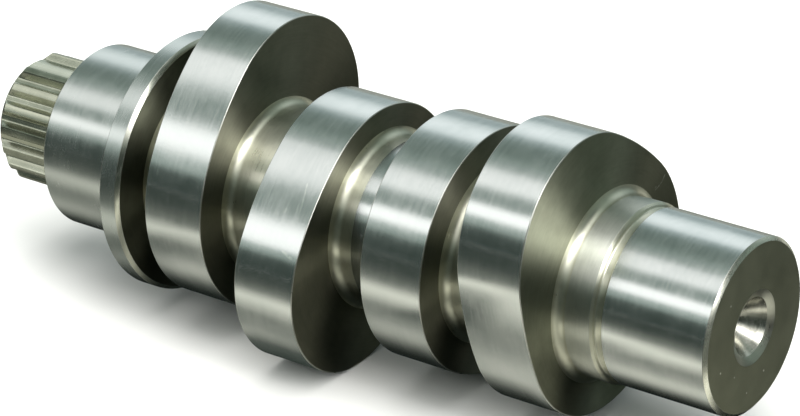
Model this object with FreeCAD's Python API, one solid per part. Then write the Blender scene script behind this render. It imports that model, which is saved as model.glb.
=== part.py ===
import FreeCAD, Part
import os
from math import sin, cos, tan, radians, atan2, sqrt, pi
from FreeCAD import Vector, Rotation, Placement

# A short four-lobe camshaft, turned and ground from one steel bar: one solid.
# Frame: X runs along the shaft, from the splined end (-X) to the end journal (+X). The origin is on the
# shaft's axis, in the plane of the thrust face: the flange's side towards the outer journal. +Z is up with
# the shaft lying on its second and third lobes, which is how it comes to rest on a flat table.
# Lobe directions are angles about X, from +Z (up) towards -Y (the front).

# ---- driving dimensions, mm and degrees ----
OUTER_JOURNAL_R = 13.90
OUTER_JOURNAL_L = 15.70
OUTER_JOURNAL_CHAMFER = 0.50

SPLINE_TIP_R = 9.90
SPLINE_ROOT_R = 8.70
SPLINE_L = 12.65
SPLINE_POSITIONS = 18            # one of them carries no tooth, so the wheel fits one way only
SPLINE_MISSING_AT = 0.7          # angle of the position with no tooth
SPLINE_TIP_HALF = 3.2            # half the tooth's angle at its tip
SPLINE_ROOT_HALF = 6.9           # and at its root
SPLINE_END_CHAMFER = 1.25        # runs down past the root, so the end's outline is a plain circle

FLANGE_R = 19.40
FLANGE_T = 3.42
FLANGE_CHAMFER = 0.55
FLANGE_EDGE = 0.15

LOBE_W = 10.16
LOBE_PITCH = 19.05
LOBE_FIRST_X = 7.75
LOBE_EDGE = 0.15                 # broken edge all round each lobe
# base circle radius, lift, nose radius, flank radius, direction of the nose
LOBES = [
    (18.45, 7.20, 16.30, 40.0, -25.5),
    (17.00, 7.15, 15.40, 38.0, 127.2),
    (18.10, 7.20, 16.00, 40.0, 239.7),
    (19.00, 7.10, 15.75, 55.0, 34.4),
]

NECK_R = 12.35                   # ground band between two lobes
NECK_RELIEF = 0.12               # the turned run-out beside each fillet lies this much lower
NECK_RELIEF_L = 3.0              # its length from the lobe's face
FILLET_R = 1.30
FRONT_NECK_R = 13.00             # neck between the last lobe and the end journal
FRONT_RELIEF_L = 2.40
FRONT_BAND_END_X = 80.35
GROOVE_R = 12.25                 # run-out groove beside the end journal

END_JOURNAL_R = 12.70
END_JOURNAL_X0 = 82.12
END_FACE_X = 98.55
END_CHAMFER_X = 0.46
END_CHAMFER_R = 0.60

CENTRE_RING_R = 5.40             # shallow outer countersink that guards the centre
CENTRE_RING_DEPTH = 0.55
CENTRE_CONE_R = 4.25             # mouth of the 60 degree centre cone
PILOT_R = 1.60
PILOT_L = 4.0

BOLT_HOLE_R = 4.25               # tapping size of the blind thread in the splined end
BOLT_HOLE_L = 24.0
BOLT_MOUTH_R = 5.20
DRILL_POINT = 59.0               # half angle of a drill's point


def at(a, b, phi):
    """Point (a along the direction phi, b square to it, the way phi grows) in the YZ plane."""
    p = radians(phi)
    return (-a * sin(p) - b * cos(p), a * cos(p) - b * sin(p))


def lobe_arcs(rb, lift, rn, rf):
    """Four tangent arcs of a convex three-arc cam, nose along a: list of (start, middle, end)."""
    e = rb + lift - rn
    ca = ((rf - rb) ** 2 - (rf - rn) ** 2 + e * e) / (2 * e)
    cb = -sqrt((rf - rb) ** 2 - ca * ca)
    k = rb / (rf - rb)
    base_pt = (-ca * k, -cb * k)
    n = (e - ca, -cb)
    nl = sqrt(n[0] ** 2 + n[1] ** 2)
    nose_pt = (e + rn * n[0] / nl, rn * n[1] / nl)
    t0 = atan2(base_pt[1] - cb, base_pt[0] - ca)
    t1 = atan2(nose_pt[1] - cb, nose_pt[0] - ca)
    tm = (t0 + t1) / 2
    mid = (ca + rf * cos(tm), cb + rf * sin(tm))
    flip = lambda p: (p[0], -p[1])
    return [
        (base_pt, mid, nose_pt),
        (nose_pt, (rb + lift, 0.0), flip(nose_pt)),
        (flip(nose_pt), flip(mid), flip(base_pt)),
        (flip(base_pt), (-rb, 0.0), base_pt),
    ]


def lobe_wire(lobe, x, inset):
    rb, lift, rn, rf, phi = lobe
    edges = []
    for arc in lobe_arcs(rb - inset, lift, rn - inset, rf - inset):
        pts = [Vector(x, *at(p[0], p[1], phi)) for p in arc]
        edges.append(Part.Arc(*pts).toShape())
    return Part.Wire(edges)


def cone_band(wire_a, wire_b):
    """Ruled faces between two wires made of matching arcs."""
    return [Part.makeRuledSurface(a, b) for a, b in zip(wire_a.Edges, wire_b.Edges)]


def lobe_solid(lobe, x0):
    """One lobe as a plate with a small broken edge on both sides."""
    c = LOBE_EDGE
    w = [lobe_wire(lobe, x0, c), lobe_wire(lobe, x0 + c, 0.0),
         lobe_wire(lobe, x0 + LOBE_W - c, 0.0), lobe_wire(lobe, x0 + LOBE_W, c)]
    faces = [Part.Face(w[0]), Part.Face(w[3])]
    for a, b in zip(w, w[1:]):
        faces += cone_band(a, b)
    shell = Part.Shell(faces)
    shell.sewShape()
    s = Part.Solid(Part.Shell(shell.Faces))
    if s.Volume < 0:
        s.reverse()
    return s


def revolve(profile):
    """Turn a closed half section about X. Entries are (x, r), or ((x, r), (xm, rm)) where an arc
    through (xm, rm) leads to (x, r)."""
    edges = []
    last = None
    first = None
    for item in profile:
        if isinstance(item[0], tuple):
            end, mid = item
            p = Vector(end[0], 0, end[1])
            edges.append(Part.Arc(last, Vector(mid[0], 0, mid[1]), p).toShape())
        else:
            p = Vector(item[0], 0, item[1])
            if last is None:
                first = p
            else:
                edges.append(Part.LineSegment(last, p).toShape())
        last = p
    if last.distanceToPoint(first) > 1e-7:
        edges.append(Part.LineSegment(last, first).toShape())
    return Part.Face(Part.Wire(edges)).revolve(Vector(0, 0, 0), Vector(1, 0, 0), 360)


def fillet_down(x, r, rad):
    """From a face at x, radius r + rad, down to the neck at x + rad, radius r."""
    m = rad * (1 - cos(pi / 4))
    return ((x + rad, r), (x + m, r + m))


def fillet_up(x, r, rad):
    """From the neck at x - rad, radius r, up to the face at x, radius r + rad."""
    m = rad * (1 - cos(pi / 4))
    return ((x, r + rad), (x - m, r + m))


def shaft():
    """Everything that is round about the axis, apart from the splined end."""
    f = FILLET_R
    low = NECK_R - NECK_RELIEF
    p = [(-OUTER_JOURNAL_L, 0.0), (-OUTER_JOURNAL_L, OUTER_JOURNAL_R - OUTER_JOURNAL_CHAMFER),
         (-OUTER_JOURNAL_L + OUTER_JOURNAL_CHAMFER, OUTER_JOURNAL_R), (0.0, OUTER_JOURNAL_R),
         (0.0, FLANGE_R - FLANGE_EDGE), (FLANGE_EDGE, FLANGE_R),
         (FLANGE_T - FLANGE_CHAMFER, FLANGE_R), (FLANGE_T, FLANGE_R - FLANGE_CHAMFER),
         (FLANGE_T, low + f)]
    x = FLANGE_T
    for i in range(4):
        left = LOBE_FIRST_X + i * LOBE_PITCH
        gap = left - x
        p.append(fillet_down(x, low, f))
        if gap > 2 * NECK_RELIEF_L + 1:
            # run-out, ground band, run-out
            p += [(x + NECK_RELIEF_L, low), (x + NECK_RELIEF_L + NECK_RELIEF, NECK_R),
                  (left - NECK_RELIEF_L - NECK_RELIEF, NECK_R), (left - NECK_RELIEF_L, low)]
        p += [(left - f, low), fillet_up(left, low, f)]
        # the core goes on inside the lobe
        x = left + LOBE_W
        top = (FRONT_NECK_R - NECK_RELIEF if i == 3 else low) + f
        if abs(top - (low + f)) > 1e-6:
            p += [(left + LOBE_W / 2, low + f), (left + LOBE_W / 2, top)]
        p.append((x, top))
    low4 = FRONT_NECK_R - NECK_RELIEF
    p.append(fillet_down(x, low4, f))
    b = FRONT_BAND_END_X
    p += [(x + FRONT_RELIEF_L, low4), (x + FRONT_RELIEF_L + NECK_RELIEF, FRONT_NECK_R), (b, FRONT_NECK_R),
          (b + 0.34, FRONT_NECK_R - 0.34), (b + 0.46, GROOVE_R + 0.12), (b + 0.60, GROOVE_R)]
    j = END_JOURNAL_X0
    g = 0.35
    m = g * (1 - cos(pi / 4))
    p += [(j - g, GROOVE_R), ((j, GROOVE_R + g), (j - m, GROOVE_R + m)),
          (j, END_JOURNAL_R - 0.08), (j + 0.08, END_JOURNAL_R),
          (END_FACE_X - END_CHAMFER_X, END_JOURNAL_R), (END_FACE_X, END_JOURNAL_R - END_CHAMFER_R)]
    # centre hole, worked inwards from the end face
    cone_l = (CENTRE_CONE_R - PILOT_R) / tan(radians(30))
    xr = END_FACE_X - CENTRE_RING_DEPTH
    xc = xr - cone_l
    xp = xc - PILOT_L
    xt = xp - PILOT_R / tan(radians(DRILL_POINT))
    p += [(END_FACE_X, CENTRE_RING_R), (xr, CENTRE_CONE_R), (xc, PILOT_R), (xp, PILOT_R), (xt, 0.0)]
    return revolve(p)


def splined_end():
    """External spline, with the blind bolt hole in its end."""
    x0 = -OUTER_JOURNAL_L - SPLINE_L
    x1 = -OUTER_JOURNAL_L
    pts = []
    step = 360.0 / SPLINE_POSITIONS
    pol = lambda r, a: Vector(x0, *at(r * cos(radians(a)), r * sin(radians(a)), 0.0))
    teeth = [SPLINE_MISSING_AT + k * step for k in range(1, SPLINE_POSITIONS)]
    edges = []
    arc = lambda r, a, b: Part.Arc(pol(r, a), pol(r, (a + b) / 2), pol(r, b)).toShape()
    for k, t in enumerate(teeth):
        a0, a1, a2, a3 = t - SPLINE_ROOT_HALF, t - SPLINE_TIP_HALF, t + SPLINE_TIP_HALF, t + SPLINE_ROOT_HALF
        edges.append(Part.LineSegment(pol(SPLINE_ROOT_R, a0), pol(SPLINE_TIP_R, a1)).toShape())
        edges.append(arc(SPLINE_TIP_R, a1, a2))
        edges.append(Part.LineSegment(pol(SPLINE_TIP_R, a2), pol(SPLINE_ROOT_R, a3)).toShape())
        nxt = teeth[(k + 1) % len(teeth)] + (360.0 if k == len(teeth) - 1 else 0.0)
        edges.append(arc(SPLINE_ROOT_R, a3, nxt - SPLINE_ROOT_HALF))
    bar = Part.Face(Part.Wire(edges)).extrude(Vector(x1 - x0 + 0.3, 0, 0))
    c = SPLINE_END_CHAMFER
    env = revolve([(x0, 0.0), (x0, SPLINE_TIP_R - c), (x0 + c, SPLINE_TIP_R), (x0 + c, SPLINE_TIP_R + 1),
                   (x1 + 0.3, SPLINE_TIP_R + 1), (x1 + 0.3, 0.0)])
    bar = bar.common(env)
    mouth = BOLT_MOUTH_R - BOLT_HOLE_R
    hole = revolve([(x0 - 1, 0.0), (x0 - 1, BOLT_MOUTH_R), (x0, BOLT_MOUTH_R), (x0 + mouth, BOLT_HOLE_R),
                    (x0 + BOLT_HOLE_L, BOLT_HOLE_R),
                    (x0 + BOLT_HOLE_L + BOLT_HOLE_R / tan(radians(DRILL_POINT)), 0.0)])
    return bar, hole


def camshaft():
    body = shaft()
    for i, lobe in enumerate(LOBES):
        body = body.fuse(lobe_solid(lobe, LOBE_FIRST_X + i * LOBE_PITCH))
    bar, hole = splined_end()
    body = body.fuse(bar).cut(hole)
    body = body.removeSplitter()
    return body.Solids[0] if len(body.Solids) == 1 else body


if __name__ == "__main__":
    os.makedirs("parts", exist_ok=True)
    s = camshaft()
    bb = s.BoundBox
    print("solids", len(s.Solids), "valid", s.isValid(), "volume mm3", round(s.Volume, 1),
          "mass g", round(s.Volume * 7.85e-3, 1), "faces", len(s.Faces))
    print("box", [round(v, 3) for v in (bb.XMin, bb.YMin, bb.ZMin, bb.XMax, bb.YMax, bb.ZMax)])
    s.exportStep("parts/camshaft.step")
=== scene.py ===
import math

import bpy
import numpy as np
from mathutils import Matrix, Vector


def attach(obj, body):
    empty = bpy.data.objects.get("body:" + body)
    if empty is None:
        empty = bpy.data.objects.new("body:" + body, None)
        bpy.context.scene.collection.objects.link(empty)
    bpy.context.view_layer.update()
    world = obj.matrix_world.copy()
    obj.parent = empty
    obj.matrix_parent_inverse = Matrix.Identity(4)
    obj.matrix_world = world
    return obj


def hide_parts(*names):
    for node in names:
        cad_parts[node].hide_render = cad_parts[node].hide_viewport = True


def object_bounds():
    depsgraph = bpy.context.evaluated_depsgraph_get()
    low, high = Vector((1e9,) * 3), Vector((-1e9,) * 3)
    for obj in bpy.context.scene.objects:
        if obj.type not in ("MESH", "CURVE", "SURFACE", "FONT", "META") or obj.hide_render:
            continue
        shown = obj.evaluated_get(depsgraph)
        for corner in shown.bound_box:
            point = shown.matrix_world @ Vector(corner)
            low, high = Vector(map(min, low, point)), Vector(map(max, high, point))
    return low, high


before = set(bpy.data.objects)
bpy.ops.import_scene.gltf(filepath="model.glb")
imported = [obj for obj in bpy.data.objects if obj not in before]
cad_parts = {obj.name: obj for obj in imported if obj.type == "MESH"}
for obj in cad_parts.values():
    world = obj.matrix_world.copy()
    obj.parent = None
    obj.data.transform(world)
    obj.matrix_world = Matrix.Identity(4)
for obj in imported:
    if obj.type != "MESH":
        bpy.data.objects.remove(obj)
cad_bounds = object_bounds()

MM = 0.001

# ---------------------------------------------------------------- dimensions, mm
N = 360                     # points round each ring
HOLE_N = 120                # points round each ring of the bolt hole
SPLINE_TIP_R, SPLINE_ROOT_R = 9.90, 8.70
SPLINE_X0, SPLINE_X1 = -28.35, -15.70
SPLINE_PITCH = 20.0
SPLINE_MISSING_AT = 0.7
SPLINE_TIP_HALF, SPLINE_ROOT_HALF = 3.2, 6.9
SPLINE_END_CHAMFER = 1.25
LOBE_W, LOBE_PITCH, LOBE_FIRST_X, LOBE_EDGE = 10.16, 19.05, 7.75, 0.15
LOBES = [                   # base r, lift, nose r, flank r, nose direction
    (18.45, 7.20, 16.30, 40.0, -25.5),
    (17.00, 7.15, 15.40, 38.0, 127.2),
    (18.10, 7.20, 16.00, 40.0, 239.7),
    (19.00, 7.10, 15.75, 55.0, 34.4),
]
NECK_R, NECK_RELIEF, NECK_RELIEF_L, FILLET_R = 12.35, 0.12, 3.0, 1.30

# ---------------------------------------------------------------- finishes
FINISHES = ["ground", "ground_soft", "ground_dull", "neck", "turned", "face", "face_painted_shade", "face_painted_gap_shade", "end_face", "chamfer",
            "chamfer_fine", "guard", "edge", "spline", "centre", "bore"]
FINISH = {name: k for k, name in enumerate(FINISHES)}

# ---------------------------------------------------------------- rings
PHASE = SPLINE_MISSING_AT - SPLINE_PITCH / 2
EVEN = np.radians(PHASE + np.arange(N) * 360.0 / N)
TOOTH = [-10.0, -8.6, -7.6, -6.9, -6.2, -5.0, -4.1, -3.45, -3.0, -1.5,
         0.0, 1.5, 3.0, 3.45, 4.1, 5.0, 6.2, 6.9, 7.6, 8.6]


def ring(x, r, ang=EVEN):
    r = np.broadcast_to(np.asarray(r, float), ang.shape)
    return np.stack([np.full(ang.shape, float(x)), -r * np.sin(ang), r * np.cos(ang)], 1)


def tooth_radius(a):
    """Radius of the spline's outline at a degrees from a tooth's middle."""
    a = abs(a)
    if a <= SPLINE_TIP_HALF:
        return SPLINE_TIP_R
    if a >= SPLINE_ROOT_HALF + 0.05:
        return SPLINE_ROOT_R
    p = np.array([SPLINE_TIP_R * math.cos(math.radians(SPLINE_TIP_HALF)), SPLINE_TIP_R * math.sin(math.radians(SPLINE_TIP_HALF))])
    q = np.array([SPLINE_ROOT_R * math.cos(math.radians(SPLINE_ROOT_HALF)), SPLINE_ROOT_R * math.sin(math.radians(SPLINE_ROOT_HALF))])
    d = q - p
    u = np.array([math.cos(math.radians(a)), math.sin(math.radians(a))])
    t = (p[0] * d[1] - p[1] * d[0]) / (u[0] * d[1] - u[1] * d[0])
    return max(SPLINE_ROOT_R, t)


spline_angles, spline_radii = [], []
for k in range(18):
    for a in TOOTH:
        spline_angles.append(SPLINE_MISSING_AT + k * SPLINE_PITCH + a)
        r = tooth_radius(a) if k else SPLINE_ROOT_R
        if k and abs(abs(a) - 6.9) < 0.01:
            r += 0.05
        if k and abs(abs(a) - 7.6) < 0.01:
            r += 0.012
        if k and abs(abs(a) - 3.0) < 0.01:
            r -= 0.012
        spline_radii.append(r)
spline_angles = np.radians(np.array(spline_angles))
spline_radii = np.array(spline_radii)


def lobe_outline(rb, lift, rn, rf, nose):
    """Points and outward unit normals (y, z) of a lobe's outline at the even angles."""
    e = rb + lift - rn
    ca = ((rf - rb) ** 2 - (rf - rn) ** 2 + e * e) / (2 * e)
    cb = -math.sqrt((rf - rb) ** 2 - ca * ca)
    k = rb / (rf - rb)
    base = np.array([-ca * k, -cb * k])
    d = np.array([e - ca, -cb])
    nosep = np.array([e, 0.0]) + rn * d / np.linalg.norm(d)
    a_nose, a_base = math.atan2(nosep[1], nosep[0]), math.atan2(base[1], base[0])
    pts, nrm = [], []
    n0 = math.radians(nose)
    e1 = np.array([-math.sin(n0), math.cos(n0)])
    e2 = np.array([-math.cos(n0), -math.sin(n0)])
    for phi in EVEN:
        a = (phi - n0 + math.pi) % (2 * math.pi) - math.pi
        s, b = (1.0 if a >= 0 else -1.0), abs(a)
        u = np.array([math.cos(b), math.sin(b)])
        if b <= a_nose:
            c = np.array([e, 0.0])
            t = u @ c + math.sqrt((u @ c) ** 2 - c @ c + rn * rn)
        elif b <= a_base:
            c = np.array([ca, cb])
            t = u @ c + math.sqrt((u @ c) ** 2 - c @ c + rf * rf)
        else:
            c = np.zeros(2)
            t = rb
        p = u * t
        n = (p - c) / np.linalg.norm(p - c)
        pts.append(p[0] * e1 + s * p[1] * e2)
        nrm.append(n[0] * e1 + s * n[1] * e2)
    return np.array(pts), np.array(nrm)


def arc(cx, cr, rad, a0, a1, n):
    """Profile points (x, r) on an arc, without its first point. Angles in degrees from +x towards +r."""
    out = []
    for k in range(1, n + 1):
        a = math.radians(a0 + (a1 - a0) * k / n)
        out.append((cx + rad * math.cos(a), cr + rad * math.sin(a)))
    return out


def rounded(points):
    """A profile of (x, r, edge radius, finish of the stretch that ends here) with its edges rounded."""
    out = []
    for k, (x, r, rho, fin) in enumerate(points):
        if rho <= 0 or k == 0 or k == len(points) - 1:
            out.append((x, r, fin))
            continue
        p = np.array([x, r], float)
        a = np.array(points[k - 1][:2], float) - p
        b = np.array(points[k + 1][:2], float) - p
        la, lb = np.linalg.norm(a), np.linalg.norm(b)
        a, b = a / la, b / lb
        turn = math.pi - math.acos(max(-1.0, min(1.0, float(a @ b))))
        t = min(rho * math.tan(turn / 2), 0.45 * la, 0.45 * lb)
        rr = t / math.tan(turn / 2)
        m = (a + b) / np.linalg.norm(a + b)
        c = p + m * rr / math.cos(turn / 2)
        u0, u1 = p + a * t - c, p + b * t - c
        steps = max(2, math.ceil(turn / math.radians(24)))
        for q in range(steps + 1):
            w = q / steps
            v = (math.sin((1 - w) * turn) * u0 + math.sin(w * turn) * u1) / math.sin(turn)
            out.append((c[0] + v[0], c[1] + v[1], fin if q == 0 else "edge"))
    return out


rings, fins = [], []        # rings of N points, and the finish of the strip that ends at each


def add(points, fin):
    rings.append(points)
    fins.append(FINISH[fin])


def revolve(points):
    for x, r, fin in rounded(points):
        add(ring(x, r), fin)


# bolt hole, rings of HOLE_N points: drill point, thread, mouth, end face
hole_angles = np.radians(PHASE + np.arange(HOLE_N) * 360.0 / HOLE_N)
hole_rings, hole_fins = [], []
THREAD_PITCH, THREAD_DEPTH = 1.5, 0.62


def thread_radius(x, ang):
    """Inner thread: flat crests at the hole's wall, roots cut outwards."""
    ph = ((x / THREAD_PITCH) + ang / (2 * math.pi)) % 1.0
    up = np.clip((ph - 0.12) / 0.32, 0, 1)
    down = np.clip((0.88 - ph) / 0.32, 0, 1)
    fade = min(1.0, max(0.0, (-x - 7.0) / 2.0))
    return 4.25 + THREAD_DEPTH * np.minimum(np.minimum(up, down), 1.0) * fade


hole_rings.append(ring(-4.35, 4.25, hole_angles)); hole_fins.append("bore")
x = -6.8
while x > -27.3:
    hole_rings.append(ring(x, thread_radius(x, hole_angles), hole_angles)); hole_fins.append("bore")
    x -= THREAD_PITCH / 8
for hx, hr, hf in ((-27.45, 4.25, "bore"), (-28.33, 5.14, "chamfer"), (-28.35, 5.22, "edge"), (-28.35, 6.0, "end_face")):
    hole_rings.append(ring(hx, hr, hole_angles)); hole_fins.append(hf)

# splined end
add(ring(SPLINE_X0, 6.3), "end_face")
add(ring(SPLINE_X0, 7.9), "end_face")
for k, sx in enumerate((-28.35, -28.30, -28.20, -28.05, -27.90, -27.75, -27.60, -27.45, -27.30, -27.20, -27.10, -26.8, -22.0, -15.70)):
    limit = SPLINE_TIP_R - SPLINE_END_CHAMFER + (sx - SPLINE_X0)
    add(ring(sx, np.minimum(spline_radii, limit), spline_angles), "end_face" if k == 0 else "spline")

# outer journal and flange
revolve([
    (-15.70, 11.2, 0, "face"), (-15.70, 13.40, 0.06, "face"), (-15.20, 13.90, 0.10, "chamfer_fine"),
    (0.0, 13.90, 0, "ground_soft"), (0.0, 19.25, 0.05, "face"), (0.15, 19.40, 0.05, "edge"),
    # the flange's face towards the first lobe takes a much darker finish: painted shade of the narrow gap between them
    (2.87, 19.40, 0.08, "ground_dull"), (3.42, 18.85, 0.06, "chamfer_fine"), (3.42, 13.53, 0, "face_painted_gap_shade"),
])
for px, pr in arc(3.42 + FILLET_R, 13.53, FILLET_R, 180, 270, 10):
    add(ring(px, pr), "turned")
add(ring(6.45, 12.23), "turned")

# lobes, with the necks between them
for k, lobe in enumerate(LOBES):
    x0 = LOBE_FIRST_X + k * LOBE_PITCH
    x1 = x0 + LOBE_W
    for px, pr in arc(x0 - FILLET_R, 13.53, FILLET_R, 270, 360, 10):
        add(ring(px, pr), "turned")
    outline, normal = lobe_outline(*lobe)

    def lobe_ring(lx, inset):
        q = outline - normal * (inset + 0.014)
        return np.stack([np.full(N, lx), q[:, 0], q[:, 1]], 1)

    add(lobe_ring(x0, LOBE_EDGE), "face")
    for t in (30, 60, 90):
        t = math.radians(t)
        add(lobe_ring(x0 + LOBE_EDGE * (1 - math.cos(t)), LOBE_EDGE * (1 - math.sin(t))), "edge")
    add(lobe_ring((x0 + x1) / 2, 0.0), "ground")
    add(lobe_ring(x1 - LOBE_EDGE, 0.0), "ground")
    for t in (60, 30, 0):
        t = math.radians(t)
        add(lobe_ring(x1 - LOBE_EDGE * (1 - math.cos(t)), LOBE_EDGE * (1 - math.sin(t))), "edge")
    if k < 3:
        nx = x0 + LOBE_PITCH
        low = NECK_R - NECK_RELIEF
        # the right faces of the first three lobes take a darker copy of the face finish: painted shade, where the lobes
        # stand in each other's shade
        add(ring(x1, 13.53), "face_painted_shade")
        for px, pr in arc(x1 + FILLET_R, 13.53, FILLET_R, 180, 270, 10):
            add(ring(px, pr), "turned")
        add(ring(x1 + NECK_RELIEF_L, low), "turned")
        add(ring(x1 + NECK_RELIEF_L + 0.12, NECK_R), "turned")
        add(ring(nx - NECK_RELIEF_L - 0.12, NECK_R), "turned" if k == 0 else "ground")
        add(ring(nx - NECK_RELIEF_L, low), "turned")
        add(ring(nx - FILLET_R, low), "turned")
    else:
        add(ring(x1, 14.18), "face")
        for px, pr in arc(x1 + FILLET_R, 14.18, FILLET_R, 180, 270, 12):
            add(ring(px, pr), "turned")

# stepped neck, run-out groove, end journal and turning centre
revolve([
    (76.60, 12.88, 0, "neck"), (77.90, 13.00, 0, "neck"), (80.35, 13.00, 0.06, "neck"),
    (80.69, 12.66, 0.05, "turned"), (80.81, 12.37, 0.04, "turned"), (80.95, 12.25, 0.05, "turned"),
    (81.77, 12.25, 0, "turned"),
])
for px, pr in arc(81.77, 12.60, 0.35, 270, 360, 6):
    add(ring(px, pr), "turned")
revolve([
    (82.12, 12.62, 0, "turned"), (82.20, 12.70, 0.03, "edge"), (98.09, 12.70, 0.07, "ground"),
    (98.55, 12.10, 0.05, "chamfer"), (98.55, 5.40, 0.05, "end_face"), (98.00, 4.25, 0.05, "guard"),
    (93.41, 1.60, 0.04, "centre"), (89.41, 1.60, 0, "bore"),
])

# ---------------------------------------------------------------- one closed mesh
verts, faces, face_fin = [], [], []


def put(points):
    start = len(verts)
    verts.extend(points.tolist())
    return start


def strip(a, b, n, fin):
    for i in range(n):
        j = (i + 1) % n
        faces.append((a + i, a + j, b + j, b + i))
        face_fin.append(fin)


apex = put(np.array([[-1.80, 0.0, 0.0]]))
starts = [put(r) for r in hole_rings]
for i in range(HOLE_N):
    faces.append((apex, starts[0] + (i + 1) % HOLE_N, starts[0] + i))
    face_fin.append(FINISH["bore"])
for k in range(1, len(starts)):
    strip(starts[k - 1], starts[k], HOLE_N, FINISH[hole_fins[k]])
outer = [put(r) for r in rings]
inner, ratio = starts[-1], N // HOLE_N
for i in range(HOLE_N):
    i0, i1 = inner + i, inner + (i + 1) % HOLE_N
    o = [outer[0] + (ratio * i + q) % N for q in range(ratio + 1)]
    for f in ((i0, o[1], o[0]), (i0, i1, o[1]), (i1, o[2], o[1]), (i1, o[3], o[2])):
        faces.append(f)
        face_fin.append(FINISH["end_face"])
for k in range(1, len(outer)):
    if np.abs(rings[k] - rings[k - 1]).max() < 1e-6:
        raise SystemExit(f"rings {k - 1} and {k} are the same")
    strip(outer[k - 1], outer[k], N, fins[k])
apex2 = put(np.array([[88.45, 0.0, 0.0]]))
for i in range(N):
    faces.append((outer[-1] + i, outer[-1] + (i + 1) % N, apex2))
    face_fin.append(FINISH["bore"])

verts = np.array(verts) * MM
volume = 0.0
for f in faces:
    p = verts[f[0]]
    for q in range(1, len(f) - 1):
        volume += float(np.dot(p, np.cross(verts[f[q]], verts[f[q + 1]]))) / 6
if volume < 0:
    faces = [tuple(reversed(f)) for f in faces]
print("mesh:", len(verts), "vertices,", sum(len(f) - 2 for f in faces), "triangles, volume", round(abs(volume) * 1e9), "mm3")

mesh = bpy.data.meshes.new("camshaft_body")
mesh.from_pydata(verts.tolist(), [], faces)
mesh.validate()
mesh.polygons.foreach_set("material_index", np.array(face_fin, np.int32))
mesh.shade_smooth()
mesh.set_sharp_from_angle(angle=math.radians(36))
mesh.use_auto_texspace = False
mesh.texspace_location = (0.035, 0.0, 0.0)
mesh.texspace_size = (0.07, 0.03, 0.03)
body = bpy.data.objects.new("camshaft_body", mesh)
bpy.context.scene.collection.objects.link(body)
wn = body.modifiers.new("weighted", "WEIGHTED_NORMAL")
wn.mode = "FACE_AREA"
wn.weight = 50
wn.keep_sharp = True


# ---------------------------------------------------------------- materials
class Graph:
    """Short calls for making a node tree."""

    def __init__(self, tree):
        self.tree = tree
        tree.nodes.clear()

    def node(self, kind, **props):
        n = self.tree.nodes.new(kind)
        for k, v in props.items():
            setattr(n, k, v)
        return n

    def put(self, socket, value):
        if isinstance(value, bpy.types.NodeSocket):
            self.tree.links.new(value, socket)
        else:
            socket.default_value = value

    def math(self, op, a, b=None, c=None, clamp=False):
        n = self.node("ShaderNodeMath", operation=op, use_clamp=clamp)
        self.put(n.inputs[0], a)
        if b is not None:
            self.put(n.inputs[1], b)
        if c is not None:
            self.put(n.inputs[2], c)
        return n.outputs[0]

    def vmath(self, op, a, b=None):
        n = self.node("ShaderNodeVectorMath", operation=op)
        self.put(n.inputs[0], a)
        if b is not None:
            self.put(n.inputs[1], b)
        return n

    def vector(self, x, y, z):
        n = self.node("ShaderNodeCombineXYZ")
        for k, v in enumerate((x, y, z)):
            self.put(n.inputs[k], v)
        return n.outputs[0]

    def noise(self, vec, scale=1.0, detail=3.0, rough=0.55):
        n = self.node("ShaderNodeTexNoise")
        self.put(n.inputs["Vector"], vec)
        n.inputs["Scale"].default_value = scale
        n.inputs["Detail"].default_value = detail
        n.inputs["Roughness"].default_value = rough
        return n.outputs["Fac"]

    def span(self, value, lo, hi, out_lo, out_hi):
        n = self.node("ShaderNodeMapRange", clamp=True)
        self.put(n.inputs["Value"], value)
        for key, v in (("From Min", lo), ("From Max", hi), ("To Min", out_lo), ("To Max", out_hi)):
            n.inputs[key].default_value = v
        return n.outputs["Result"]

    def ramp(self, value, stops, interpolation="LINEAR"):
        n = self.node("ShaderNodeValToRGB")
        cr = n.color_ramp
        cr.interpolation = interpolation
        while len(cr.elements) < len(stops):
            cr.elements.new(1.0)
        for el, (pos, col) in zip(cr.elements, sorted(stops, key=lambda s: s[0])):
            el.position = pos
            el.color = (*col, 1.0)
        self.put(n.inputs["Fac"], value)
        return n.outputs["Color"]


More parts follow.
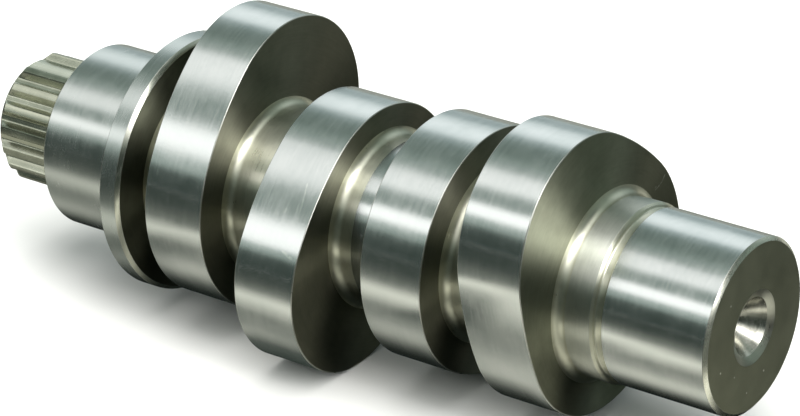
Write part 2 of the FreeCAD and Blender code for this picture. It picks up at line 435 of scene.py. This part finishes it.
def steel(name, low, high, rough, aniso, along, streak, streak_um, grain_um, length=4.0, mottle=260.0, rough_var=0.05, fleck=0.0, scratches=()):
    """A machined steel. low and high are its darkest and lightest colour; along is the direction that the
    tool marks cross ("x" on walls, "r" on flat faces, "xr" on fillets, "turn" for marks along the shaft).
    Each scratch or speck is two end points and a width in mm, and a strength."""
    mat = bpy.data.materials.new(name)
    mat.use_nodes = True
    g = Graph(mat.node_tree)
    out = g.node("ShaderNodeOutputMaterial")
    bsdf = g.node("ShaderNodeBsdfPrincipled")
    g.put(out.inputs["Surface"], bsdf.outputs[0])
    co = g.node("ShaderNodeTexCoord").outputs["Object"]
    sep = g.node("ShaderNodeSeparateXYZ")
    g.put(sep.inputs[0], co)
    x, y, z = sep.outputs
    r = g.math("SQRT", g.math("ADD", g.math("MULTIPLY", y, y), g.math("MULTIPLY", z, z)))
    r = g.math("MAXIMUM", r, 0.0002)
    uy, uz = g.math("DIVIDE", y, r), g.math("DIVIDE", z, r)
    if along == "x":
        s = x
    elif along == "r":
        s = r
    else:
        s = g.math("ADD", x, g.math("MULTIPLY", r, 1.31))
    if along == "turn":
        marks = g.vector(g.math("MULTIPLY", x, 60.0), g.math("MULTIPLY", y, streak), g.math("MULTIPLY", z, streak))
    else:
        marks = g.vector(g.math("MULTIPLY", s, streak), g.math("MULTIPLY", uy, length), g.math("MULTIPLY", uz, length))
    lines = g.noise(marks, 1.0, 4.0, 0.65)
    fine = g.noise(co, 2600.0, 2.0, 0.5)
    cloud = g.noise(co, mottle, 3.0, 0.6)
    # colour: soft clouds, with the tool marks faintly in it
    mix = g.math("ADD", g.math("MULTIPLY", cloud, 0.62), g.math("MULTIPLY", lines, 0.38))
    colour = g.ramp(mix, [(0.34, low), (0.64, high)])
    if fleck > 0:
        cells = g.node("ShaderNodeTexVoronoi", feature="F1")
        g.put(cells.inputs["Vector"], co)
        cells.inputs["Scale"].default_value = 260.0
        spot = g.span(cells.outputs["Distance"], 0.0, 0.05, 1.0, 0.0)
        tone = g.node("ShaderNodeSeparateColor")
        g.put(tone.inputs[0], cells.outputs["Color"])
        spot = g.math("MULTIPLY", spot, g.math("GREATER_THAN", tone.outputs[0], 1.0 - fleck))
        blend = g.node("ShaderNodeMix", data_type="RGBA")
        g.put(blend.inputs["Factor"], spot)
        g.put(blend.inputs[6], colour)
        blend.inputs[7].default_value = (0.72, 0.72, 0.66, 1)
        colour = blend.outputs[2]
    worn = None
    for a, b, width, strength in scratches:
        a, b = Vector(a) * MM, Vector(b) * MM
        away = g.vmath("SUBTRACT", co, a).outputs[0]
        if (b - a).length > 1e-6:
            share = g.math("DIVIDE", g.vmath("DOT_PRODUCT", away, b - a).outputs[1], (b - a).length_squared, clamp=True)
            step = g.vmath("SCALE", b - a)
            g.put(step.inputs["Scale"], share)
            away = g.vmath("SUBTRACT", away, step.outputs[0]).outputs[0]
        mark = g.span(g.vmath("LENGTH", away).outputs[1], 0.3 * width * MM, width * MM, strength, 0.0)
        worn = mark if worn is None else g.math("MAXIMUM", worn, mark)
    if worn is not None:
        worn = g.math("MULTIPLY", worn, g.span(g.noise(co, 1300.0, 2.0, 0.6), 0.40, 0.56, 0.25, 1.0))
        blend = g.node("ShaderNodeMix", data_type="RGBA")
        g.put(blend.inputs["Factor"], worn)
        g.put(blend.inputs[6], colour)
        blend.inputs[7].default_value = (0.97, 0.97, 0.90, 1)
        colour = blend.outputs[2]
    g.put(bsdf.inputs["Base Color"], colour)
    bsdf.inputs["Metallic"].default_value = 1.0
    bsdf.inputs["Anisotropic"].default_value = aniso
    bsdf.inputs["Anisotropic Rotation"].default_value = 0.0 if along == "turn" else 0.25
    tangent = g.node("ShaderNodeTangent", direction_type="RADIAL", axis="X")
    g.put(bsdf.inputs["Tangent"], tangent.outputs[0])
    v = g.math("ADD", g.math("MULTIPLY", cloud, 0.5), g.math("MULTIPLY", lines, 0.5))
    g.put(bsdf.inputs["Roughness"], g.span(v, 0.32, 0.68, max(0.04, rough - rough_var), rough + rough_var))
    b1 = g.node("ShaderNodeBump")
    b1.inputs["Strength"].default_value = 1.0
    b1.inputs["Distance"].default_value = streak_um * 1e-6
    g.put(b1.inputs["Height"], lines)
    b2 = g.node("ShaderNodeBump")
    b2.inputs["Strength"].default_value = 1.0
    b2.inputs["Distance"].default_value = grain_um * 1e-6
    g.put(b2.inputs["Height"], fine)
    g.put(b2.inputs["Normal"], b1.outputs[0])
    g.put(bsdf.inputs["Normal"], b2.outputs[0])
    return mat


FACE_MARKS = [              # a curved scratch on the last lobe's face
    ((75.06, 14.59, 10.85), (75.06, 13.87, 10.10), 0.13, 0.9), ((75.06, 13.87, 10.10), (75.06, 12.95, 9.72), 0.11, 0.7),
    ((75.06, 12.95, 9.72), (75.06, 12.15, 9.50), 0.09, 0.5), ((75.06, 12.30, 9.95), (75.06, 12.15, 9.85), 0.14, 0.5),
]
WALL_MARKS = [              # scuffs and specks on the second lobe's flank
    ((34.18, -14.12, 10.27), (34.89, -16.30, 7.96), 0.14, 0.40), ((34.50, -15.35, 9.02), (35.08, -17.79, 6.14), 0.12, 0.45),
    ((34.05, -16.10, 8.20), (34.60, -17.40, 6.60), 0.10, 0.35), ((32.34, -17.21, 6.87), (32.50, -17.05, 7.05), 0.42, 0.35),
    ((31.32, -17.59, 6.40), (31.10, -17.45, 6.55), 0.36, 0.30), ((34.32, -20.36, 2.32), (35.91, -20.64, 1.79), 0.30, 0.35),
]
END_MARKS = [               # bright specks on the end face
    ((98.55, -8.72, -3.06), (98.55, -8.72, -3.06), 0.20, 0.9), ((98.55, 2.67, -7.74), (98.55, 2.67, -7.74), 0.22, 0.9),
    ((98.55, -5.08, -5.33), (98.55, -5.08, -5.33), 0.17, 0.8), ((98.55, -1.78, -9.21), (98.55, -1.78, -9.21), 0.17, 0.7),
    ((98.55, -6.30, 5.97), (98.55, -6.30, 5.97), 0.20, 0.6),
]
mats = {
    "ground": steel("ground_steel_wall", (0.57, 0.60, 0.59), (0.67, 0.69, 0.68), 0.20, 0.55, "x", 2600.0, 3.0, 2.0, scratches=WALL_MARKS),
    "ground_soft": steel("ground_steel_soft", (0.53, 0.56, 0.545), (0.61, 0.635, 0.62), 0.24, 0.45, "x", 2600.0, 1.4, 0.8),
    "ground_dull": steel("ground_steel_dull", (0.49, 0.525, 0.51), (0.56, 0.59, 0.575), 0.25, 0.45, "x", 2600.0, 1.4, 0.8),
    "neck": steel("turned_neck", (0.57, 0.585, 0.53), (0.70, 0.715, 0.65), 0.40, 0.98, "x", 3000.0, 2.0, 1.5),
    "turned": steel("turned_steel", (0.57, 0.57, 0.475), (0.70, 0.70, 0.585), 0.31, 0.92, "xr", 3600.0, 2.0, 1.0),
    "face": steel("turned_face", (0.235, 0.243, 0.180), (0.31, 0.320, 0.238), 0.45, 1.0, "r", 3600.0, 2.0, 1.6, rough_var=0.03, scratches=FACE_MARKS),
    # a darker copy of the turned face for the first three lobes: painted shade
    "face_painted_shade": steel("turned_face_painted_shade", (0.184, 0.184, 0.139), (0.244, 0.244, 0.186), 0.45, 1.0, "r", 3600.0, 2.0, 1.6, rough_var=0.03),
    # a much darker copy of the turned face for the flange's face beside the first lobe: painted shade of the gap
    "face_painted_gap_shade": steel("turned_face_painted_gap_shade", (0.10, 0.104, 0.075), (0.14, 0.145, 0.105), 0.45, 1.0, "r", 3600.0, 2.0, 1.6, rough_var=0.03),
    "end_face": steel("end_face", (0.210, 0.217, 0.158), (0.248, 0.255, 0.187), 0.62, 0.10, "r", 5200.0, 1.0, 3.0, fleck=0.02, scratches=END_MARKS),
    "chamfer": steel("cut_chamfer", (0.60, 0.605, 0.53), (0.74, 0.745, 0.66), 0.27, 0.30, "xr", 4200.0, 4.0, 2.0),
    "chamfer_fine": steel("cut_chamfer_fine", (0.48, 0.485, 0.42), (0.60, 0.605, 0.53), 0.18, 0.40, "xr", 4200.0, 2.0, 1.5),
    "guard": steel("cut_guard_ring", (0.50, 0.505, 0.44), (0.64, 0.645, 0.57), 0.30, 0.30, "xr", 4200.0, 3.0, 2.0),
    "edge": steel("worn_edge", (0.44, 0.445, 0.41), (0.55, 0.555, 0.52), 0.30, 0.2, "xr", 2600.0, 2.0, 1.5),
    "spline": steel("hobbed_spline", (0.42, 0.43, 0.345), (0.56, 0.57, 0.465), 0.25, 0.30, "turn", 3000.0, 2.0, 0.6),
    "centre": steel("centre_cone", (0.34, 0.335, 0.295), (0.62, 0.615, 0.555), 0.24, 0.50, "xr", 3400.0, 5.0, 1.5, mottle=620.0),
    "bore": steel("bored_steel", (0.20, 0.195, 0.16), (0.33, 0.32, 0.27), 0.38, 0.4, "x", 2400.0, 6.0, 2.0),
}
for name in FINISHES:
    mesh.materials.append(mats[name])
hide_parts("camshaft")
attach(body, "root")

# ---------------------------------------------------------------- floor
floor_z = cad_bounds[0][2] - 0.00001
fm = bpy.data.meshes.new("floor")
steps = 16
fv, ff = [], []
for a in range(steps + 1):
    for b in range(steps + 1):
        fv.append((-4 + 8 * a / steps, -4 + 8 * b / steps, floor_z))
for a in range(steps):
    for b in range(steps):
        i = a * (steps + 1) + b
        ff.append((i, i + steps + 1, i + steps + 2, i + 1))
fm.from_pydata(fv, [], ff)
floor = bpy.data.objects.new("floor", fm)
bpy.context.scene.collection.objects.link(floor)
mat = bpy.data.materials.new("pale_floor")
mat.use_nodes = True
g = Graph(mat.node_tree)
out = g.node("ShaderNodeOutputMaterial")
bsdf = g.node("ShaderNodeBsdfPrincipled")
g.put(out.inputs["Surface"], bsdf.outputs[0])
co = g.node("ShaderNodeTexCoord").outputs["Object"]
g.put(bsdf.inputs["Base Color"], g.ramp(g.noise(co, 3.0, 3.0), [(0.3, (0.80, 0.80, 0.79)), (0.7, (0.82, 0.82, 0.81))]))
bsdf.inputs["Roughness"].default_value = 0.85
bsdf.inputs["Specular IOR Level"].default_value = 0.1
fm.materials.append(mat)

# a dark flag lying round the shaft, seen only in its reflections: painted reflections of a dark surround, with the
# floor's shade painted into them
flag_mesh = bpy.data.meshes.new("flag")
flag_mesh.from_pydata([(-2.5, -2.5, floor_z + 0.0003), (2.5, -2.5, floor_z + 0.0003), (2.5, 2.5, floor_z + 0.0003), (-2.5, 2.5, floor_z + 0.0003)], [], [(0, 1, 2, 3)])
flag = bpy.data.objects.new("flag", flag_mesh)
bpy.context.scene.collection.objects.link(flag)
mat = bpy.data.materials.new("flag_painted_reflections")
mat.use_nodes = True
g = Graph(mat.node_tree)
out = g.node("ShaderNodeOutputMaterial")
co = g.node("ShaderNodeTexCoord").outputs["Object"]
sep = g.node("ShaderNodeSeparateXYZ")
g.put(sep.inputs[0], co)
fx, fy, fz = sep.outputs
# how much of the floor it leaves open, across the shaft: a lit strip in front, and a softer one below the shaft
OPEN_STRIP = [              # metres in front (-) or behind (+), share left open
    (-0.150, 0.01), (-0.100, 0.03), (-0.075, 0.08), (-0.056, 0.14), (-0.046, 0.54), (-0.040, 0.80), (-0.035, 0.64),
    (-0.030, 0.42), (-0.026, 0.14), (-0.020, 0.0), (0.150, 0.0),
]
OPEN_BELOW = [
    (-0.150, 0.0), (-0.030, 0.0), (-0.024, 0.14), (-0.018, 0.44), (-0.0145, 0.76), (-0.0115, 0.76), (-0.009, 0.42),
    (-0.006, 0.11), (-0.003, 0.02), (0.0, 0.0), (0.02, 0.0), (0.035, 0.05), (0.06, 0.14), (0.09, 0.22), (0.150, 0.50),
]
# the pattern follows the shaft: farther out beside the lobes and the flange, dimmer towards the splined end. This is
# painted shadow in the reflections: it stands in for the shaft's own shadow on the floor, which reaches farther out
# where the shaft is thicker
wide = g.math("MULTIPLY", g.span(fx, -0.012, -0.006, 0.0, 0.006), g.span(fx, 0.067, 0.074, 1.0, 0.0))
across = g.math("ADD", fy, wide)
# painted shade: the flag's faint dark glow is weakest under and just behind the shaft
under_shaft_shade = g.span(across, -0.012, -0.003, 1.0, 0.22)
farther = g.math("MULTIPLY", g.span(fx, 0.038, 0.042, 0.0, 0.008), g.span(fx, 0.050, 0.056, 1.0, 0.0))
strip_open = g.ramp(g.math("ADD", g.math("DIVIDE", g.math("ADD", across, farther), 0.32), 0.5), [(y / 0.32 + 0.5, (v, v, v)) for y, v in OPEN_STRIP])
below_open = g.ramp(g.math("ADD", g.math("DIVIDE", across, 0.32), 0.5), [(y / 0.32 + 0.5, (v, v, v)) for y, v in OPEN_BELOW])
strip_open = g.math("MULTIPLY", strip_open, g.span(fx, -0.045, 0.050, 0.62, 1.0))
strip_open = g.math("MULTIPLY", strip_open, g.span(fx, 0.078, 0.110, 1.0, 0.20))
below_along = g.ramp(g.math("DIVIDE", g.math("ADD", fx, 0.06), 0.2), [((x + 0.06) / 0.2, (v, v, v)) for x, v in (
    (-0.060, 0.45), (-0.014, 0.50), (-0.009, 0.28), (-0.002, 0.30), (0.004, 0.62), (0.030, 0.60), (0.052, 0.56), (0.066, 0.72), (0.074, 0.92), (0.102, 0.92), (0.108, 1.0), (0.119, 1.0), (0.130, 0.15), (0.140, 0.12))])
below_open = g.math("MULTIPLY", below_open, g.span(fx, 0.100, 0.112, 1.0, 1.3))
below_open = g.math("MULTIPLY", below_open, below_along)
beyond = g.span(fx, 0.098, 0.125, 0.0, 0.55)
beyond = g.math("SUBTRACT", 1.0, g.math("MULTIPLY", beyond, g.span(fy, -0.005, 0.010, 0.0, 1.0)))
share = g.math("MULTIPLY", g.math("ADD", strip_open, below_open), beyond)
# painted shadow: closed under the nose of the second lobe, which almost touches the floor, standing in for its contact
# shadow; and a small opening beyond the near end
nose_shade = g.math("MULTIPLY", g.span(fx, 0.018, 0.023, 0.0, 0.88), g.span(fx, 0.033, 0.038, 1.0, 0.0))
nose_shade = g.math("MULTIPLY", nose_shade, g.span(fy, -0.0235, -0.0190, 0.0, 1.0))
share = g.math("MULTIPLY", share, g.math("SUBTRACT", 1.0, nose_shade))
gap = g.math("MULTIPLY", g.span(fx, 0.103, 0.112, 0.0, 0.55), g.span(fx, 0.135, 0.150, 1.0, 0.0))
gap = g.math("MULTIPLY", gap, g.math("MULTIPLY", g.span(fy, -0.004, 0.004, 0.0, 1.0), g.span(fy, 0.012, 0.022, 1.0, 0.0)))
share = g.math("ADD", share, gap)
cover = g.math("SUBTRACT", 1.0, share, clamp=True)
# the open parts pass the floor's reflection through warm: a painted warm tint on the reflected floor only
clear = g.node("ShaderNodeBsdfTransparent")
clear.inputs["Color"].default_value = (1.0, 0.985, 0.89, 1)
# the dark sheet glows faintly in the reflections, standing in for a dim surround, weakest under the shaft: painted
# shade
dark = g.node("ShaderNodeEmission")
dark.inputs["Color"].default_value = (0.054, 0.070, 0.060, 1)
g.put(dark.inputs["Strength"], g.math("MAXIMUM", under_shaft_shade, g.span(fy, 0.030, 0.060, 0.22, 1.0)))
mixer = g.node("ShaderNodeMixShader")
g.put(mixer.inputs[0], cover)
g.put(mixer.inputs[1], clear.outputs[0])
g.put(mixer.inputs[2], dark.outputs[0])
g.put(out.inputs["Surface"], mixer.outputs[0])
flag_mesh.materials.append(mat)
flag.visible_camera = False
flag.visible_diffuse = False
flag.visible_shadow = False
flag.visible_transmission = False
flag.visible_volume_scatter = False

# ---------------------------------------------------------------- studio surround
world = bpy.data.worlds.new("studio")
bpy.context.scene.world = world
world.use_nodes = True
g = Graph(world.node_tree)
out = g.node("ShaderNodeOutputWorld")
bg = g.node("ShaderNodeBackground")
g.put(out.inputs["Surface"], bg.outputs[0])
co = g.node("ShaderNodeTexCoord").outputs["Generated"]
sep = g.node("ShaderNodeSeparateXYZ")
g.put(sep.inputs[0], co)
wx, wy, wz = sep.outputs
# angle round the shaft, from straight up towards the front
turn = g.math("ARCTAN2", g.math("MULTIPLY", wy, -1.0), wz)
turn = g.math("ADD", g.math("DIVIDE", turn, 2 * math.pi), 0.5)


def tint(v, k=0.0, cool=0.0):
    """A grey of value v: k 0 is the room's green-grey, 1 a neutral light; cool adds blue."""
    return (v * (0.76 + 0.24 * k), v, v * min(1.0, 0.87 + 0.11 * k + 0.13 * cool))


SURROUND = [                # degrees from straight up towards the front, value, neutral, cool
    (-180, 0.40, 0, 0.5), (-140, 0.50, 0, 1), (-104, 0.90, 0.4, 1), (-90, 0.64, 0.3, 1), (-82, 0.48, 0.3, 1), (-74, 0.53, 0.3, 1),
    (-66, 0.95, 0.6, 1), (-54, 1.28, 0.75, 1), (-42, 1.20, 0.7, 1), (-35, 0.48, 0.2, 0.6), (-26, 0.27, 0.1, 0.2),
    (-12, 0.25, 0.1, 0), (-3, 0.38, 0.2, 0), (7, 0.54, 0.5, 0), (14, 1.18, 0.95, 0), (28, 1.32, 0.95, 0), (34, 0.56, 0.5, 0),
    (38, 0.38, 0.3, 0), (47, 0.44, 0.4, 0), (51, 1.75, 1, 0), (60.0, 1.75, 1, 0), (63.5, 0.60, 0.4, 0), (69.5, 0.50, 0.3, 0),
    (73.5, 0.10, 0, 0), (88, 0.075, 0, 0), (95, 0.072, 0, 0), (120, 0.10, 0, 0), (180, 0.30, 0, 0),
]
left = g.ramp(turn, [((a + 180) / 360, tint(v, k, c)) for a, v, k, c in SURROUND])
SURROUND_MIDDLE = [         # the same straight across from the shaft
    (-180, 0.20, 0, 0), (-100, 0.30, 0.2, 0.3), (-84, 0.45, 0.2, 0.5), (-63, 0.85, 0.5, 0.5), (-45, 0.42, 0.3, 0), (-33, 0.48, 0.3, 0),
    (-23, 0.85, 0.6, 0), (-13, 1.25, 0.8, 0), (-3, 1.75, 0.9, 0), (7, 2.2, 1, 0), (17, 2.7, 1, 0), (28, 2.7, 1, 0), (37, 1.8, 1, 0),
    (47, 1.3, 0.9, 0), (57, 0.78, 0.8, 0), (67, 0.32, 0.4, 0), (77, 0.13, 0.1, 0), (87, 0.07, 0, 0), (120, 0.08, 0, 0), (180, 0.20, 0, 0),
]
SURROUND_END = [            # and towards the near end
    (-180, 0.10, 0, 0), (-110, 0.22, 0, 0), (-70, 0.30, 0, 0), (-40, 0.10, 0, 0), (-10, 0.10, 0, 0), (1, 0.50, 0.4, 0), (8, 3.6, 1, 0),
    (13, 8.0, 1, 0), (25, 8.0, 1, 0), (31, 4.2, 1, 0), (40, 2.9, 1, 0), (50, 1.6, 1, 0), (58, 0.55, 0.6, 0), (66, 0.12, 0, 0), (75, 0.05, 0, 0),
    (88, 0.05, 0, 0), (120, 0.05, 0, 0), (180, 0.10, 0, 0),
]


def blend(factor, a, b):
    n = g.node("ShaderNodeMix", data_type="RGBA")
    g.put(n.inputs["Factor"], factor)
    g.put(n.inputs[6], a)
    g.put(n.inputs[7], b)
    return n.outputs[2]


middle = g.ramp(turn, [((a + 180) / 360, tint(v, k, c)) for a, v, k, c in SURROUND_MIDDLE])
near = g.ramp(turn, [((a + 180) / 360, tint(v, k, c)) for a, v, k, c in SURROUND_END])
room = blend(g.span(wx, -0.24, 0.02, 0.0, 1.0), left, middle)
room = blend(g.span(wx, 0.36, 0.56, 0.0, 1.0), room, near)
room = blend(g.span(wx, 0.93, 0.985, 0.0, 1.0), room, (0.14, 0.16, 0.13, 1))
far_col = g.ramp(g.math("ADD", g.math("MULTIPLY", wz, 0.5), 0.5), [(0.50, (0.12, 0.14, 0.13)), (0.58, (0.55, 0.60, 0.58)), (0.72, (0.50, 0.55, 0.53)), (0.80, (0.18, 0.20, 0.19))])
room = blend(g.span(wx, -0.78, -0.93, 0.0, 1.0), room, far_col)
g.put(bg.inputs["Color"], room)
bg.inputs["Strength"].default_value = 1.0

# a wide overhead light for the floor
ld = bpy.data.lights.new("overhead", "AREA")
ld.shape = "RECTANGLE"
ld.size, ld.size_y = 1.6, 1.2
ld.energy = 18.0
ld.color = (1.0, 0.985, 0.96)
overhead = bpy.data.objects.new("overhead", ld)
overhead.location = (0.035, 0.0, 1.3)
bpy.context.scene.collection.objects.link(overhead)
overhead.visible_glossy = False
overhead.visible_camera = False

# ---------------------------------------------------------------- camera
cam_data = bpy.data.cameras.new("camera")
cam_data.sensor_fit = "HORIZONTAL"
cam_data.sensor_width = 36.0
cam_data.lens = 168.67
cam_data.clip_start = 0.01
cam_data.clip_end = 50.0
cam = bpy.data.objects.new("camera", cam_data)
right = Vector((0.81168, 0.58365, -0.02289))
up = Vector((-0.23956, 0.36836, 0.89829))
back = Vector((0.53271, -0.72364, 0.43880))
rot = Matrix((right, up, back)).transposed().to_4x4()
cam.matrix_world = Matrix.Translation((0.32475, -0.38708, 0.23699)) @ rot
bpy.context.scene.collection.objects.link(cam)
bpy.context.scene.camera = cam
bpy.context.scene.view_settings.view_transform = "Standard"
